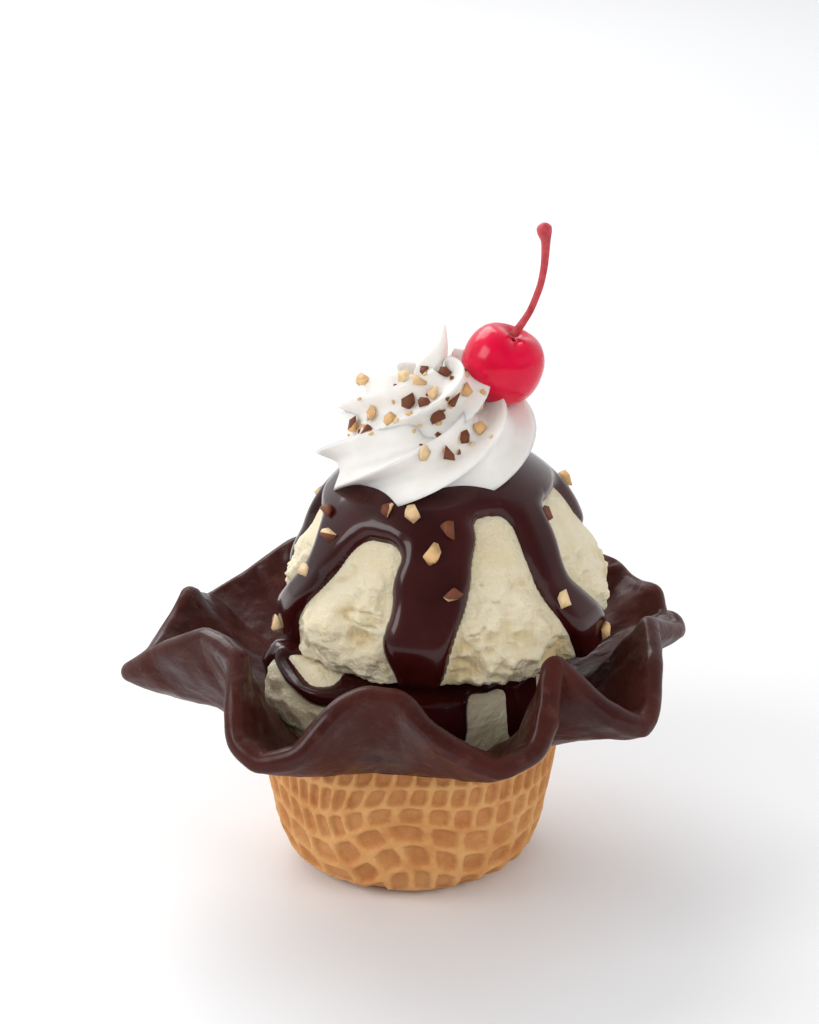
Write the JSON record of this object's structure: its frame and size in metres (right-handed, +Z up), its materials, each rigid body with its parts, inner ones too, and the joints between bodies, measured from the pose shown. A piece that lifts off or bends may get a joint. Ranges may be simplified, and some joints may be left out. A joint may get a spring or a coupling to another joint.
{
  "type": "ice cream sundae",
  "caption": "Two scoops of vanilla ice cream in a ruffled, chocolate-dipped waffle bowl, with hot fudge, a swirl of whipped cream, chopped nuts and a cherry.",
  "frame": {"origin": "centre of the waffle bowl's flat foot, on the surface it stands on", "axes": "+Z up, +X to the sundae's right as a viewer at its front sees it (the cherry's side), -Y towards the viewer at the front"},
  "size_m": [0.1321, 0.118, 0.1537],
  "materials": {
    "wafer": "baked, dry and matte",
    "dip_chocolate": "set chocolate, satin",
    "ice_cream": "frozen, softly shining",
    "fudge": "wet gloss, with pale chips of nut",
    "cream": "soft, with pale chips of nut",
    "cherry_red": "wet gloss",
    "stem_red": "dyed stalk, satin"
  },
  "bodies": {
    "root": {"waffle_bowl": "wafer", "chocolate_dip": "dip_chocolate", "lower_scoop": "ice_cream", "fudge_pool": "fudge", "upper_scoop": "ice_cream", "fudge_cap": "fudge", "whipped_cream": "cream", "cherry": "cherry_red", "cherry_stem": "stem_red"}
  },
  "joints": []
}
